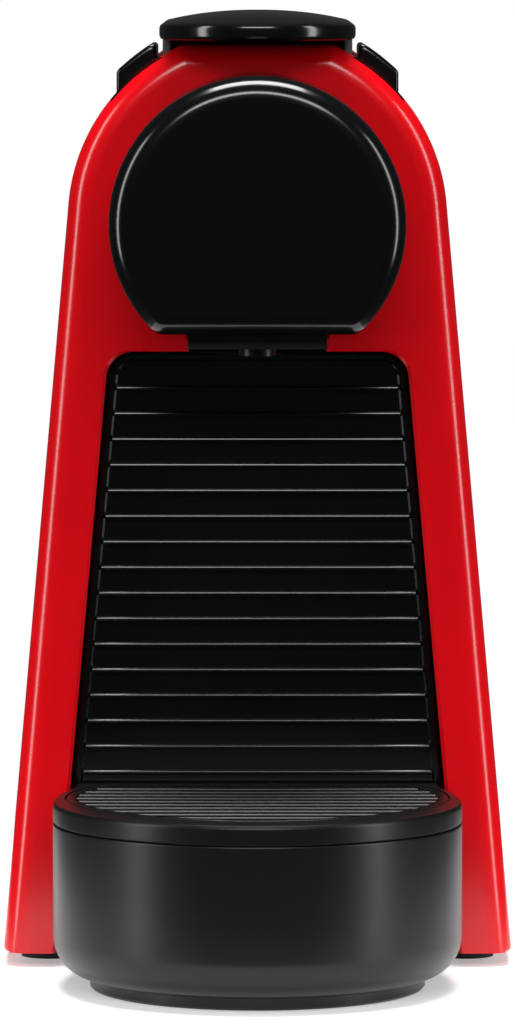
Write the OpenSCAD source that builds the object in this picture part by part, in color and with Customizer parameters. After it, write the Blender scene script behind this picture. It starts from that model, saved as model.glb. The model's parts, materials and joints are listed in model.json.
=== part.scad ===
// Pod coffee machine: a red arched body with a black head, a lever, a drip tray and a rear tank.
// Millimetres. Origin at the middle of the footprint on the table, front towards -Y, +Z up.

/* [Body] */
// Width of the body across its foot
body_w = 110; // [104:1:120]
// Length from the front of the drip tray to the back of the tank
body_l = 325; // [318:1:345]
// Distance from the front of the drip tray to the red face
face_back = 72; // [70:1:76]
// Radius of the arch over the shoulders
arch_r = 40.9; // [40:0.1:42]
// Height of the centre of the arch
arch_z = 161.5; // [158:0.5:166]
// Height of the flat cut across the top of the arch
flat_z = 199.2; // [198.6:0.1:199.4]
// Gap between the table and the body
ground_gap = 2.75; // [2:0.25:4]
// Wall of the side covers
cover_wall = 2.5; // [1.8:0.1:3]
// Thickness of the red face
face_t = 3; // [2:0.5:4]
// Depth of the front frame's side return
frame_d = 12.5; // [8:0.5:14]
// Length of the casing behind the red face
casing_l = 192.5; // [188:0.5:194]
// Thickness of the rear bulkhead
bulkhead_t = 4; // [3:0.5:5]

/* [Niche] */
// Width of the red legs beside the niche
leg_w = 11.45; // [10:0.05:13]
// Height of the top of the niche
niche_top = 133.3; // [132:0.1:134]
// Corner radius at the top of the niche
niche_r = 6; // [4:0.5:9]
// Distance from the red face back to the ribbed panel
panel_recess = 6; // [4:0.5:8]
// Thickness of the ribbed panel
panel_t = 2.5; // [2:0.5:3]
// Number of ledges on the ribbed panel
ledge_count = 16; // [8:1:16]
// Distance between ledges
ledge_pitch = 5.56; // [5:0.02:5.6]
// Height of each ledge
ledge_h = 1; // [0.6:0.1:1.4]
// Gap between pieces that slide past each other
slide_gap = 0.5; // [0.4:0.1:0.8]

/* [Head] */
// Radius of the head disc
head_r = 31.2; // [30:0.1:32]
// Height of the centre of the head disc
head_z = 162; // [160:0.5:163]
// Height of the flat chord under the head
head_chord_z = 139.1; // [138:0.1:140]
// How far the head stands out of the red face
head_d = 43; // [38:0.5:46]
// Edge rounding of the head disc
head_fillet = 4.5; // [3:0.5:6]
// Wall of the head cover
head_wall = 2.2; // [1.8:0.1:2.6]
// Half width of the coffee outlet
outlet_hw = 14.6; // [13:0.1:16]
// Outer radius of the spout
spout_r = 4; // [3.5:0.1:5]
// Inner radius of the spout
spout_bore_r = 2.4; // [2:0.1:3]

/* [Drip tray] */
// Radius of the drum
drum_r = 43.4; // [42:0.1:44]
// Radius of the rounding under the drum
drum_round = 8.5; // [6:0.5:10]
// Height of the seam between the drum and the cup support
drum_h = 35.2; // [32:0.1:36]
// Height of the top of the cup support
support_z = 39.6; // [38.4:0.1:41]
// Wall of the drum
drum_wall = 2; // [1.6:0.1:2.6]
// Radius of the foot ring
ring_r = 35.6; // [30:0.1:36]
// Height of the foot ring
ring_h = 2.5; // [2:0.1:3]
// Half width of the part of the tray inside the niche
tray_hw = 39.4; // [38:0.1:39.6]
// Length of the tray behind the red face
tray_in = 64; // [60:1:66]
// Radius of the slotted drip grid
grid_r = 41; // [38:0.1:41.4]
// Distance between the slots of the drip grid
grid_pitch = 5.6; // [5:0.1:7]
// Width of a slot of the drip grid
slot_w = 2.4; // [2:0.1:3]
// Thickness of the drip grid
grid_t = 1.6; // [1.2:0.1:2]

/* [Lever] */
// Half width of the lever
lever_hw = 21.1; // [20.5:0.1:21.4]
// Height of the lever's cross pin
pivot_z = 188; // [187:0.5:188.5]
// Distance of the lever's cross pin behind the middle of the footprint
pivot_y = 8; // [6:0.5:10]
// Radius of the lever's hub
hub_r = 14; // [12:0.5:14]
// Radius of the lever's cross pin
pin_r = 3; // [2.5:0.25:3.5]
// Radial clearance of the cross pin in the side plates
pin_clear = 0.05; // [0.02:0.01:0.1]
// How far the lever opens, in degrees
lever_angle = 90; // [60:5:90]
// Height of the underside of the lever
lever_under_z = 200.2; // [200:0.1:200.6]
// Height of the top of the lever's band
lever_band_z = 203.7; // [203:0.1:204.2]
// Height of the top of the lever
lever_top_z = 206; // [205:0.1:207]
// How far the lever stands out in front of the red face
lever_front = 18; // [14:0.5:20]

/* [Brew unit] */
// Height of the brewing axis
brew_z = 162; // [160:0.5:163]
// Travel of the pod carriage
carriage_travel = 30; // [26:1:30]
// Outer radius of the pod cage
cage_r = 18; // [16:0.25:18]
// Inner radius of the pod cage
cage_bore_r = 15.2; // [14:0.1:15.4]
// Radius of the piston stem
stem_r = 6; // [5:0.25:6.5]
// Radius of the water feed tube
feed_r = 2.5; // [2:0.1:2.8]
// Radial clearance of the feed tube in the stem
feed_clear = 0.08; // [0.04:0.01:0.1]
// Radius of the guide pins
guide_pin_r = 2.5; // [2:0.1:3]
// Radial clearance of the guide pins in their slots
guide_clear = 0.2; // [0.1:0.05:0.3]
// Thickness of the brew unit's side plates
plate_t = 2.5; // [2:0.1:3]

/* [Keys] */
// Travel of each key
key_travel = 1; // [0.6:0.1:1.2]
// Radius of the keys' outer face about the centre of the arch
key_r = 44.1; // [43.6:0.1:44.6]
// Distance from the middle to the inner side of a key
key_in = 21.9; // [21.7:0.1:22.4]
// Distance from the middle to the outer side of a key
key_out = 30.5; // [29:0.1:31]
// Length of a key
key_l = 36; // [30:1:40]
// Gap round a key
key_gap = 0.4; // [0.3:0.1:0.6]

/* [Tank] */
// Wall of the tank
tank_wall = 2.2; // [1.8:0.1:2.6]
// Height of the top of the tank
tank_top = 184; // [170:1:186]
// How far the tank is set in from the body's side
tank_inset = 3; // [2:0.5:5]
// Thickness of the tank lid
lid_t = 4; // [3:0.5:5]
// Radius of the docking spigot's bore
spigot_bore_r = 3; // [2.5:0.1:3.5]
// Travel of the tank's foot valve
valve_travel = 2.5; // [2:0.1:3]

/* [Base] */
// Radius of the rubber feet
foot_r = 6.3; // [5:0.1:6.5]
// Thickness of the base plate
base_t = 5; // [4:0.5:6]
// Radius of the cord gland's bore
gland_bore_r = 3.75; // [3:0.25:4]
// Length of the cord gland
gland_l = 12; // [8:1:14]

/* [Hidden] */
$fn = 72;

// Places along the machine
front_y = -body_l / 2;
back_y = body_l / 2;
face_y = front_y + face_back;
frame_y = face_y + frame_d;
casing_y = face_y + casing_l;
bulkhead_y = casing_y - bulkhead_t;
panel_y = face_y + panel_recess;
drum_y = front_y + drum_r;
skin = 0.01;
body_h_limit = 230;

// Slope of the body's sides: they leave the arch at the angle that reaches the foot at full width
foot_z = ground_gap + 2.25;
foot_reach = sqrt(pow(body_w / 2, 2) + pow(arch_z - foot_z, 2));
side_angle = atan2(body_w / 2, arch_z - foot_z) - asin(arch_r / foot_reach);

// Half width of the body at a height, set in by i
function side_x(z, i = 0) = (arch_r - i - (z - arch_z) * sin(side_angle)) / cos(side_angle);

// Points on an arc, from angle a to angle b about (cx, cy)
function arc(cx, cy, r, a, b, n = 24) =
    [for (k = [0:n]) [cx + r * cos(a + (b - a) * k / n), cy + r * sin(a + (b - a) * k / n)]];

function mirrored(points) = [for (k = [len(points) - 1:-1:0]) [-points[k][0], points[k][1]]];

// Outline of the body seen from the front, set in by i, with its foot at height low
function arch_half(i, low) = concat(
    [[side_x(low, i), low]],
    arc(0, arch_z, arch_r - i, side_angle, asin((flat_z - i - arch_z) / (arch_r - i))));
function arch_points(i, low) = concat(arch_half(i, low), mirrored(arch_half(i, low)));

// Outline of the niche, set in by i, with its foot at height low
niche_cz = niche_top - niche_r;
niche_cx = side_x(niche_cz, leg_w + niche_r);
function niche_half(i, low) = concat(
    [[side_x(low, leg_w + i), low]],
    arc(niche_cx, niche_cz, niche_r - i, side_angle, 90, 8));
function niche_points(i, low) = concat(niche_half(i, low), mirrored(niche_half(i, low)));

// Extrudes a front outline from y0 to y1
module along_y(y0, y1) {
    translate([0, y1, 0]) rotate([90, 0, 0]) linear_extrude(y1 - y0) children();
}

// Extrudes a side outline, drawn in (y, z), from x0 to x1
module along_x(x0, x1) {
    translate([x0, 0, 0]) rotate([90, 0, 90]) linear_extrude(x1 - x0) children();
}

// A box given by its two corners
module block(low, high) {
    translate(low) cube(high - low);
}

// A rod along X, Y or Z that starts at a point
module rod_x(at, r, l) {
    translate(at) rotate([0, 90, 0]) cylinder(r = r, h = l);
}
module rod_y(at, r, l) {
    translate(at) rotate([-90, 0, 0]) cylinder(r = r, h = l);
}
module rod_z(at, r, l) {
    translate(at) cylinder(r = r, h = l);
}

// ---- Casing ----

// Shell that follows the body's outline between two places, open at the foot
module casing_shell(y0, y1) {
    difference() {
        along_y(y0, y1) polygon(arch_points(0, ground_gap));
        along_y(y0 - 1, y1 + 1) polygon(arch_points(cover_wall, ground_gap - 1));
    }
}

saddle_hw = key_out + 1;
saddle_back = pivot_y + lever_band_z - pivot_z + 6.3;
opening_hw = lever_hw + slide_gap;
opening_back = pivot_y + lever_band_z - pivot_z + slide_gap + 0.1;
face_back_y = face_y + face_t;
head_hole_r = 26;
head_hole_z = niche_top + 8.7;
notch_gap = 0.2;
lip_t = 2;

module front_frame() {
    color([0.78, 0.02, 0.06]) difference() {
        union() {
            along_y(face_y, face_back_y) polygon(arch_points(0, ground_gap));
            casing_shell(face_back_y, frame_y);
            intersection() {
                along_y(face_back_y, panel_y + panel_t) difference() {
                    polygon(niche_points(-lip_t, ground_gap));
                    polygon(niche_points(0, ground_gap - 1));
                }
                block([-body_w, face_y, ground_gap], [body_w, frame_y, niche_top + lip_t]);
            }
        }
        along_y(face_y - 1, face_back_y + skin) polygon(niche_points(0, ground_gap - 1));
        intersection() {
            rod_y([0, face_y - 1, head_z], head_hole_r, face_t + 2);
            block([-body_w, face_y - 1, head_hole_z], [body_w, face_y + face_t + 1, body_h_limit]);
        }
        block([-outlet_hw - notch_gap, face_y - 1, niche_top - 1],
              [outlet_hw + notch_gap, panel_y + panel_t + 1, head_hole_z + 1]);
        block([-saddle_hw, face_back_y, arch_z], [saddle_hw, frame_y + 1, body_h_limit]);
    }
}

// One half of the red casing behind the front frame; side is 1 for right and -1 for left
module side_cover(side) {
    color([0.78, 0.02, 0.06]) difference() {
        casing_shell(frame_y, casing_y);
        block([-saddle_hw, frame_y - 1, arch_z], [saddle_hw, saddle_back, body_h_limit]);
        mirror([side > 0 ? 0 : 1, 0, 0])
            block([-body_w, frame_y - 1, -1], [0, casing_y + 1, body_h_limit]);
    }
}
module left_cover() { side_cover(-1); }
module right_cover() { side_cover(1); }

base_z = ground_gap + 0.25;
base_top = base_z + base_t;
bay_hw = tray_hw + 2;
bay_back = face_y + tray_in + 2;
seat_z = 32;
seat_t = 3;
gland_x = -25;
gland_z = 18;
gland_r = gland_bore_r + 1.75;
spigot_y = casing_y + 26;
rear_passage_hw = 20;

module base_plate() {
    color([0.06, 0.06, 0.07]) difference() {
        union() {
            intersection() {
                along_y(panel_y + panel_t + 2, back_y - 0.5) polygon(arch_points(cover_wall, base_z));
                block([-body_w, front_y, base_z], [body_w, back_y, base_top]);
            }
            intersection() {
                along_y(casing_y, back_y - 0.5) polygon(arch_points(cover_wall, base_z));
                tank_plan(base_z, seat_z, 0);
            }
        }
        block([-bay_hw, front_y, 0], [bay_hw, bay_back, base_top + 1]);
        intersection() {
            along_y(casing_y - 1, back_y - seat_t - 0.5)
                polygon(arch_points(cover_wall + seat_t, base_top));
            block([-body_w, front_y, base_top], [body_w, back_y, seat_z - seat_t]);
        }
        rod_y([gland_x, back_y - 8, gland_z], gland_r, 10);
        rod_z([0, spigot_y, seat_z - seat_t - 1], spigot_flange_r, seat_t + 2);
    }
}

foot_x = 45.4;
front_foot_y = face_y + 17.3;
rear_foot_y = back_y - 22.5;

module rubber_feet() {
    color([0.03, 0.03, 0.03])
        for (x = [-foot_x, foot_x], y = [front_foot_y, rear_foot_y])
            rod_z([x, y, 0], foot_r, base_z);
}

module rear_bulkhead() {
    color([0.08, 0.08, 0.09]) difference() {
        intersection() {
            along_y(bulkhead_y, casing_y) polygon(arch_points(cover_wall, base_top));
            block([-body_w, bulkhead_y, base_top], [body_w, casing_y, body_h_limit]);
        }
        block([-rear_passage_hw, bulkhead_y - 1, base_top + 2],
              [rear_passage_hw, casing_y + 1, seat_z - seat_t - 2]);
    }
}

module cord_gland() {
    color([0.03, 0.03, 0.03]) difference() {
        union() {
            rod_y([gland_x, back_y - gland_l, gland_z], gland_r, gland_l);
            rod_y([gland_x, back_y - gland_l, gland_z], gland_r + 2, gland_l - seat_t - 0.5);
        }
        rod_y([gland_x, back_y - gland_l - 1, gland_z], gland_bore_r, gland_l + 2);
    }
}

// ---- Top deck ----

shelf_in = 24.9;
shelf_z = 174.5;
shelf_t = 2;
pod_slot_hw = 19;
deck_t = 3;
boss_in = 22;
boss_out = 26;
boss_low = 178;
key_y0 = face_y + 12.5;
key_y1 = key_y0 + key_l;

module control_saddle() {
    color([0.03, 0.03, 0.035]) difference() {
        union() {
            intersection() {
                along_y(face_back_y, saddle_back) difference() {
                    polygon(arch_points(0, ground_gap));
                    polygon(arch_points(deck_t, ground_gap - 1));
                }
                block([-saddle_hw, face_back_y, arch_z], [saddle_hw, saddle_back, body_h_limit]);
            }
            for (side = [0, 1]) mirror([side, 0, 0]) {
                intersection() {
                    along_y(face_back_y, saddle_back) polygon(arch_points(deck_t - skin, ground_gap));
                    union() {
                        block([shelf_in, key_y0 - 2.5, shelf_z], [34, key_y1 + 2.5, shelf_z + shelf_t]);
                        block([shelf_in, key_y0 - 2.5, shelf_z], [34, key_y0 - 1, body_h_limit]);
                        block([shelf_in, key_y1 + 1, shelf_z], [34, key_y1 + 2.5, body_h_limit]);
                        block([boss_in, pivot_y - 10, boss_low], [boss_out, saddle_back, body_h_limit]);
                    }
                }
            }
        }
        block([-opening_hw, face_back_y - 1, arch_z], [opening_hw, opening_back, body_h_limit]);
        for (side = [0, 1]) mirror([side, 0, 0])
            block([opening_hw - 1, key_y0 - key_gap, shelf_z + shelf_t],
                  [key_out + key_gap, key_y1 + key_gap, body_h_limit]);
        rod_x([-boss_out - 1, pivot_y, pivot_z], pin_r, 2 * boss_out + 2);
    }
}

guide_low = 183;
guide_top = 196.5;
slot_y0 = face_back_y + 1.2;
slot_y1 = face_y + 32;

module pod_guide() {
    color([0.05, 0.05, 0.055]) difference() {
        block([-opening_hw, face_back_y, guide_low], [opening_hw, slot_y1 + 1, guide_top]);
        block([-pod_slot_hw, slot_y0, guide_low - 1], [pod_slot_hw, slot_y1, guide_top + 1]);
        block([-body_w, face_back_y - 1, guide_low - 1], [-opening_hw + 1, slot_y1 + 2, guide_low + 6]);
        block([opening_hw - 1, face_back_y - 1, guide_low - 1], [body_w, slot_y1 + 2, guide_low + 6]);
    }
}

// One key, drawn on the right-hand shoulder
key_x = (key_in + key_out) / 2;
key_low = 187;
key_stem_r = 1.6;
key_stem_y = key_y0 + key_l / 3;
key_spring_y = key_y1 - key_l / 4;
board_t = 1.6;
switch_h = 3.5;
switch_top = shelf_z + shelf_t + board_t + switch_h;
board_top = shelf_z + shelf_t + board_t;

module key() {
    color([0.02, 0.02, 0.025]) {
        along_y(key_y0, key_y1) intersection() {
            translate([0, arch_z]) circle(key_r, $fn = 120);
            translate([key_in, key_low]) square([key_out - key_in, 30]);
        }
        rod_z([key_x, key_stem_y, switch_top + key_travel + 0.2], key_stem_r,
              key_low + skin - switch_top - key_travel - 0.2);
    }
}
module espresso_key() { mirror([1, 0, 0]) key(); }
module lungo_key() { key(); }

// Helical wire spring standing on a point
module spring(at, coil_r, wire_r, l, turns, sides = 8, steps = 16) {
    n = turns * steps;
    rise = l - 2 * wire_r;
    points = [for (k = [0:n], s = [0:sides - 1])
        let (a = 360 * k / steps, b = 360 * s / sides, r = coil_r + wire_r * cos(b))
        [r * cos(a), r * sin(a), wire_r + rise * k / n + wire_r * sin(b)]];
    faces = concat(
        [for (k = [0:n - 1], s = [0:sides - 1])
            let (t = (s + 1) % sides)
            [k * sides + s, k * sides + t, (k + 1) * sides + t, (k + 1) * sides + s]],
        [[for (s = [sides - 1:-1:0]) s]],
        [[for (s = [0:sides - 1]) n * sides + s]]);
    translate(at) polyhedron(points, faces);
}
module key_spring(side) {
    color([0.7, 0.7, 0.72])
        spring([side * key_x, key_spring_y, board_top], 2, 0.3, key_low - board_top, 5);
}
module espresso_spring() { key_spring(-1); }
module lungo_spring() { key_spring(1); }

module switch_boards() {
    color([0.05, 0.3, 0.12]) for (side = [0, 1]) mirror([side, 0, 0])
        block([shelf_in, key_y0 + 2, shelf_z + shelf_t], [key_x + 5, key_y1 - 2, board_top]);
}
module key_switches() {
    color([0.2, 0.2, 0.22]) for (side = [0, 1]) mirror([side, 0, 0])
        block([shelf_in, key_stem_y - 3, board_top], [shelf_in + 6, key_stem_y + 3, switch_top]);
}

// ---- Head and outlet ----

head_front_y = face_y - head_d;
spout_y = drum_y;
outlet_low = head_chord_z - 3.3;
outlet_front_y = spout_y - 7;
chamber_r = 16;
chamber_wall = 2;
chamber_y0 = face_y - 20;
boss_y0 = face_y - 5.5;
plate_y0 = face_y - 1;

// Disc with a rounded front rim and a flat chord at its foot, set in by i
module head_solid(i) {
    r = head_r - i;
    f = head_fillet - i / 2;
    d = head_d - i;
    intersection() {
        translate([0, face_y, head_z]) rotate([90, 0, 0]) rotate_extrude($fn = 120)
            polygon(concat([[0, 0], [r, 0]], arc(r - f, d - f, f, 0, 90, 8), [[0, d]]));
        block([-head_r, head_front_y, head_chord_z + i], [head_r, face_y, head_z + head_r]);
    }
}

module head_cover() {
    color([0.02, 0.02, 0.025]) difference() {
        head_solid(0);
        translate([0, skin, 0]) head_solid(head_wall);
        block([-outlet_hw - notch_gap, outlet_front_y - notch_gap, head_chord_z - 1],
              [outlet_hw + notch_gap, face_y + 1, head_chord_z + head_wall + 1]);
    }
}

module coffee_outlet() {
    channel_z = brew_z - chamber_r + chamber_wall + 1.5;
    color([0.03, 0.03, 0.03]) difference() {
        union() {
            rod_y([0, chamber_y0, brew_z], chamber_r, boss_y0 - chamber_y0);
            block([-outlet_hw, outlet_front_y, outlet_low], [outlet_hw, face_y + 2, head_chord_z + 2]);
            block([-outlet_hw, outlet_front_y, outlet_low], [outlet_hw, boss_y0, channel_z + 3.5]);
            rod_z([0, spout_y, outlet_low - 1.6], spout_r, 3);
        }
        rod_y([0, chamber_y0 + chamber_wall, brew_z], chamber_r - chamber_wall, boss_y0);
        block([-outlet_hw - 1, boss_y0, head_chord_z + 2], [outlet_hw + 1, 0, brew_z + 30]);
        rod_z([0, spout_y, outlet_low - 3], spout_bore_r, channel_z - outlet_low + 3);
        rod_y([0, spout_y, channel_z], spout_bore_r, chamber_y0 + chamber_wall + 2 - spout_y);
    }
}

// ---- Brew unit ----

plate_in = lever_hw + 0.9;
plate_out = plate_in + plate_t;
plate_low = 136;
plate_high = 177;
plate_back = pivot_y + 36;
bar_r = 2.5;
bars = [[face_y + 38.5, 140], [plate_back - 4, 148], [plate_back - 4, 174]];
flange_r = head_hole_r - 0.5;
seal_y1 = face_back_y + 1.5;
cage_y0 = seal_y1 + 0.3;
cage_y1 = face_y + 40.5;
yoke_y1 = cage_y1 + 13;
guide_y = cage_y1 + 8;
guide_z = brew_z + 3;
stem_y1 = cage_y1 + 42;
feed_y0 = cage_y1 + 30;
cheek_in = lever_hw - 1.8;
cheek_out = lever_hw - 0.1;
yoke_hw = cheek_in - 0.5;

module side_plate() {
    slot_r = guide_pin_r + guide_clear;
    color([0.72, 0.73, 0.75]) difference() {
        block([plate_in, face_back_y, plate_low], [plate_out, plate_back, plate_high]);
        rod_x([plate_in - 1, guide_y, guide_z], slot_r, plate_t + 2);
        rod_x([plate_in - 1, guide_y + carriage_travel, guide_z], slot_r, plate_t + 2);
        block([plate_in - 1, guide_y, guide_z - slot_r],
              [plate_out + 1, guide_y + carriage_travel, guide_z + slot_r]);
    }
}
module right_brew_plate() { side_plate(); }
module left_brew_plate() { mirror([1, 0, 0]) side_plate(); }

module tie_bars() {
    color([0.6, 0.6, 0.62]) for (b = bars)
        rod_x([-plate_in, b[0], b[1]], bar_r, 2 * plate_in);
}

head_screw_r = 2.6;
module brew_unit_screws() {
    color([0.5, 0.5, 0.52]) for (b = bars, side = [0, 1]) mirror([side, 0, 0])
        rod_x([plate_out, b[0], b[1]], head_screw_r, 1.8);
}

module lever_pin() {
    color([0.75, 0.75, 0.77]) rod_x([-boss_out, pivot_y, pivot_z], pin_r, 2 * boss_out);
}

module extraction_plate() {
    color([0.7, 0.7, 0.72]) difference() {
        union() {
            intersection() {
                rod_y([0, plate_y0, brew_z], flange_r, face_back_y - plate_y0);
                block([-body_w, plate_y0, head_hole_z + 0.5], [body_w, face_back_y, body_h_limit]);
            }
            rod_y([0, boss_y0, brew_z], chamber_r, plate_y0 - boss_y0);
        }
        for (x = [-2:2], z = [-2:2])
            if (x * x + z * z < 6)
                rod_y([x * 4.4, boss_y0 - 1, brew_z + z * 4.4], 0.7, face_back_y - boss_y0 + 2);
    }
}

module extraction_seal() {
    color([0.75, 0.3, 0.2]) difference() {
        rod_y([0, face_back_y, brew_z], cage_r - 0.4, seal_y1 - face_back_y);
        rod_y([0, face_back_y - 1, brew_z], cage_bore_r - 0.6, seal_y1 - face_back_y + 2);
    }
}

module pod_cage() {
    color([0.68, 0.69, 0.71]) difference() {
        union() {
            rod_y([0, cage_y0, brew_z], cage_r, cage_y1 - cage_y0);
            block([-yoke_hw, cage_y1 - 1, guide_z - 7], [yoke_hw, yoke_y1, guide_z + 7]);
            rod_y([0, cage_y1 - 1, brew_z], stem_r, stem_y1 - cage_y1 + 1);
        }
        rod_y([0, cage_y0 - 1, brew_z], cage_bore_r, cage_y1 - cage_y0 - 3);
        rod_y([0, cage_y1 - 5, brew_z], feed_r + feed_clear, stem_y1 - cage_y1 + 6);
        for (side = [0, 1]) mirror([side, 0, 0])
            rod_x([yoke_hw - 5, guide_y, guide_z], guide_pin_r, 6);
    }
}

module guide_pins() {
    color([0.75, 0.75, 0.77]) for (side = [0, 1]) mirror([side, 0, 0])
        rod_x([yoke_hw - 5, guide_y, guide_z], guide_pin_r, plate_out + 0.5 - yoke_hw + 5);
}

module injection_blades() {
    color([0.8, 0.8, 0.82]) for (a = [90, 210, 330])
        translate([8 * cos(a), cage_y1 - 11, brew_z + 8 * sin(a)])
            rotate([-90, 0, 0]) cylinder(r1 = 0.2, r2 = 1.6, h = 7, $fn = 24);
}

module stem_seal() {
    color([0.1, 0.1, 0.1]) difference() {
        rod_y([0, stem_y1, brew_z], stem_r, 1.5);
        rod_y([0, stem_y1 - 1, brew_z], feed_r + feed_clear, 4);
    }
}

module feed_tube() {
    color([0.75, 0.75, 0.77]) difference() {
        rod_y([0, feed_y0, brew_z], feed_r, plate_back + 4 - feed_y0);
        rod_y([0, feed_y0 - 1, brew_z], feed_r - 1, plate_back + 6 - feed_y0);
    }
}

module feed_bracket() {
    color([0.12, 0.12, 0.13]) difference() {
        block([-plate_in, plate_back - 6, brew_z - 7], [plate_in, plate_back, brew_z + 7]);
        rod_y([0, plate_back - 7, brew_z], feed_r, 10);
    }
}

// ---- Lever ----

knob_y = face_y - lever_front + lever_hw;

// Where the guide pin lies in the lever's own frame when the lever stands at angle a
function cam_point(a) =
    let (dy = guide_y - pivot_y + carriage_travel * a / lever_angle, dz = guide_z - pivot_z)
    [dy * cos(a) - dz * sin(a), dy * sin(a) + dz * cos(a)];
cam_steps = 18;
cam_margin = 4;
cheek_root = 8;

// Outline of the band as one closed polygon: its two long sides and its two round ends
function cam_dir(a) =
    let (p = cam_point(a + 0.01), q = cam_point(a - 0.01), l = norm(p - q)) (p - q) / l;
function cam_side(a, r) = let (d = cam_dir(a)) cam_point(a) + r * [d[1], -d[0]];
function cam_outline(r) = let (
        d0 = cam_dir(0), a0 = atan2(d0[0], -d0[1]),
        d1 = cam_dir(lever_angle), a1 = atan2(-d1[0], d1[1]),
        p0 = cam_point(0), p1 = cam_point(lever_angle))
    concat(
        [for (k = [0:cam_steps]) cam_side(lever_angle * k / cam_steps, r)],
        arc(p1[0], p1[1], r, a1, a1 + 180, 12),
        [for (k = [cam_steps:-1:0]) cam_side(lever_angle * k / cam_steps, -r)],
        arc(p0[0], p0[1], r, a0, a0 + 180, 12));

module cam_cheek() {
    color([0.7, 0.71, 0.73]) translate([0, pivot_y, pivot_z]) difference() {
        along_x(cheek_in, cheek_out) {
            polygon(cam_outline(guide_pin_r + guide_clear + cam_margin));
            polygon(concat(
                [[cheek_root, lever_under_z - pivot_z],
                 [guide_y - pivot_y, lever_under_z - pivot_z]],
                [for (k = [0:cam_steps]) cam_point(lever_angle * k / cam_steps)]));
        }
        along_x(cheek_in - 1, cheek_out + 1) polygon(cam_outline(guide_pin_r + guide_clear));
        rod_x([cheek_in - 1, 0, 0], pin_r + pin_clear, 4);
    }
}
module right_cam_cheek() { cam_cheek(); }
module left_cam_cheek() { mirror([1, 0, 0]) cam_cheek(); }

module lever_plan(z0, z1, i, back) {
    translate([0, 0, z0]) linear_extrude(z1 - z0) {
        translate([0, knob_y]) circle(lever_hw - i);
        translate([-lever_hw + i, knob_y]) square([2 * (lever_hw - i), back - knob_y]);
    }
}

module lever() {
    color([0.03, 0.03, 0.035]) difference() {
        union() {
            lever_plan(lever_under_z, lever_band_z, 0, pivot_y);
            rod_x([-cheek_in, pivot_y, pivot_z], hub_r, 2 * cheek_in);
            block([-cheek_in, pivot_y - hub_r, pivot_z], [cheek_in, pivot_y, lever_under_z + skin]);
        }
        rod_x([-lever_hw - 1, pivot_y, pivot_z], pin_r + pin_clear, 2 * lever_hw + 2);
    }
}

cap_arc_r = (pow(lever_hw, 2) + pow(lever_top_z - lever_band_z, 2)) / (2 * (lever_top_z - lever_band_z));
cap_back = pivot_y - 12;
module lever_cap() {
    color([0.02, 0.02, 0.02]) intersection() {
        lever_plan(lever_band_z, lever_top_z, 0.4, cap_back);
        rod_y([0, face_y - 40, lever_top_z - cap_arc_r], cap_arc_r, 150, $fn = 200);
    }
}

// ---- Drip unit ----

tray_side_r = 79;
tray_turn = acos((tray_hw - drum_r + tray_side_r) / tray_side_r);
tray_back = face_y + tray_in;
tray_floor_z = base_z + 0.4;

// Plan of the tray set in by i, behind its widest place or whole with its half-round front
function tray_side(i) = concat(
    arc(drum_r - tray_side_r, drum_y, tray_side_r - i, 0, tray_turn, 8),
    [[tray_hw - i, tray_back - i]]);
function tray_rear(i) = concat(tray_side(i), mirrored(tray_side(i)));
function tray_half(i) = concat(arc(0, drum_y, drum_r - i, -90, -3, 28), tray_side(i));
function tray_points(i) = let (h = tray_half(i)) concat(h, mirrored([for (k = [1:len(h) - 1]) h[k]]));

// Drum set in by i, with its rounded foot
module drum_solid(i, top) {
    low = ring_h + i;
    r = drum_r - i;
    f = drum_round - i;
    intersection() {
        translate([0, drum_y, 0]) rotate_extrude($fn = 120)
            polygon(concat([[0, low]], arc(r - f, low + f, f, -90, 0, 8), [[r, top], [0, top]]));
        block([-body_w, front_y - 1, 0], [body_w, drum_y, top]);
    }
    translate([0, 0, low]) linear_extrude(top - low) polygon(tray_rear(i));
}

module drip_tray() {
    color([0.05, 0.05, 0.055]) difference() {
        union() {
            drum_solid(0, drum_h);
            rod_z([0, drum_y, 0], ring_r, ring_h + 2);
        }
        drum_solid(drum_wall, drum_h + 5);
        rod_z([0, drum_y, -1], ring_r - 3, ring_h + 1);
        block([-body_w, face_y - 1, -1], [body_w, tray_back + 1, tray_floor_z]);
    }
}

rim_z = drum_h + 0.1;
rim_back_y = panel_y - 1.5;
grid_y = drum_y + 5.6;
ledge_in = 1.7;
module cup_support_rim() {
    color([0.05, 0.05, 0.055]) difference() {
        intersection() {
            translate([0, 0, rim_z]) linear_extrude(support_z - rim_z) polygon(tray_points(0));
            block([-body_w, front_y, rim_z], [body_w, rim_back_y, support_z]);
        }
        intersection() {
            rod_z([0, grid_y, support_z - grid_t], grid_r, grid_t + 1);
            block([-body_w, front_y, rim_z], [body_w, rim_back_y - 1.5, support_z + 2]);
        }
        intersection() {
            rod_z([0, grid_y, rim_z - 1], grid_r - ledge_in, 10);
            block([-body_w, front_y, rim_z - 2], [body_w, rim_back_y - 3, support_z + 2]);
        }
    }
}

module drip_grid() {
    color([0.06, 0.06, 0.065]) difference() {
        intersection() {
            rod_z([0, grid_y, support_z - grid_t], grid_r - 0.15, grid_t);
            block([-body_w, front_y, 0], [body_w, rim_back_y - 1.65, support_z]);
        }
        for (k = [0:13]) {
            y = rim_back_y - 7 - k * grid_pitch;
            reach = pow(grid_r - 3, 2) - pow(abs(y - grid_y) + slot_w / 2, 2);
            if (reach > 16)
                block([-sqrt(reach), y - slot_w / 2, support_z - grid_t - 1],
                      [sqrt(reach), y + slot_w / 2, support_z + 1]);
        }
    }
}

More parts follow.
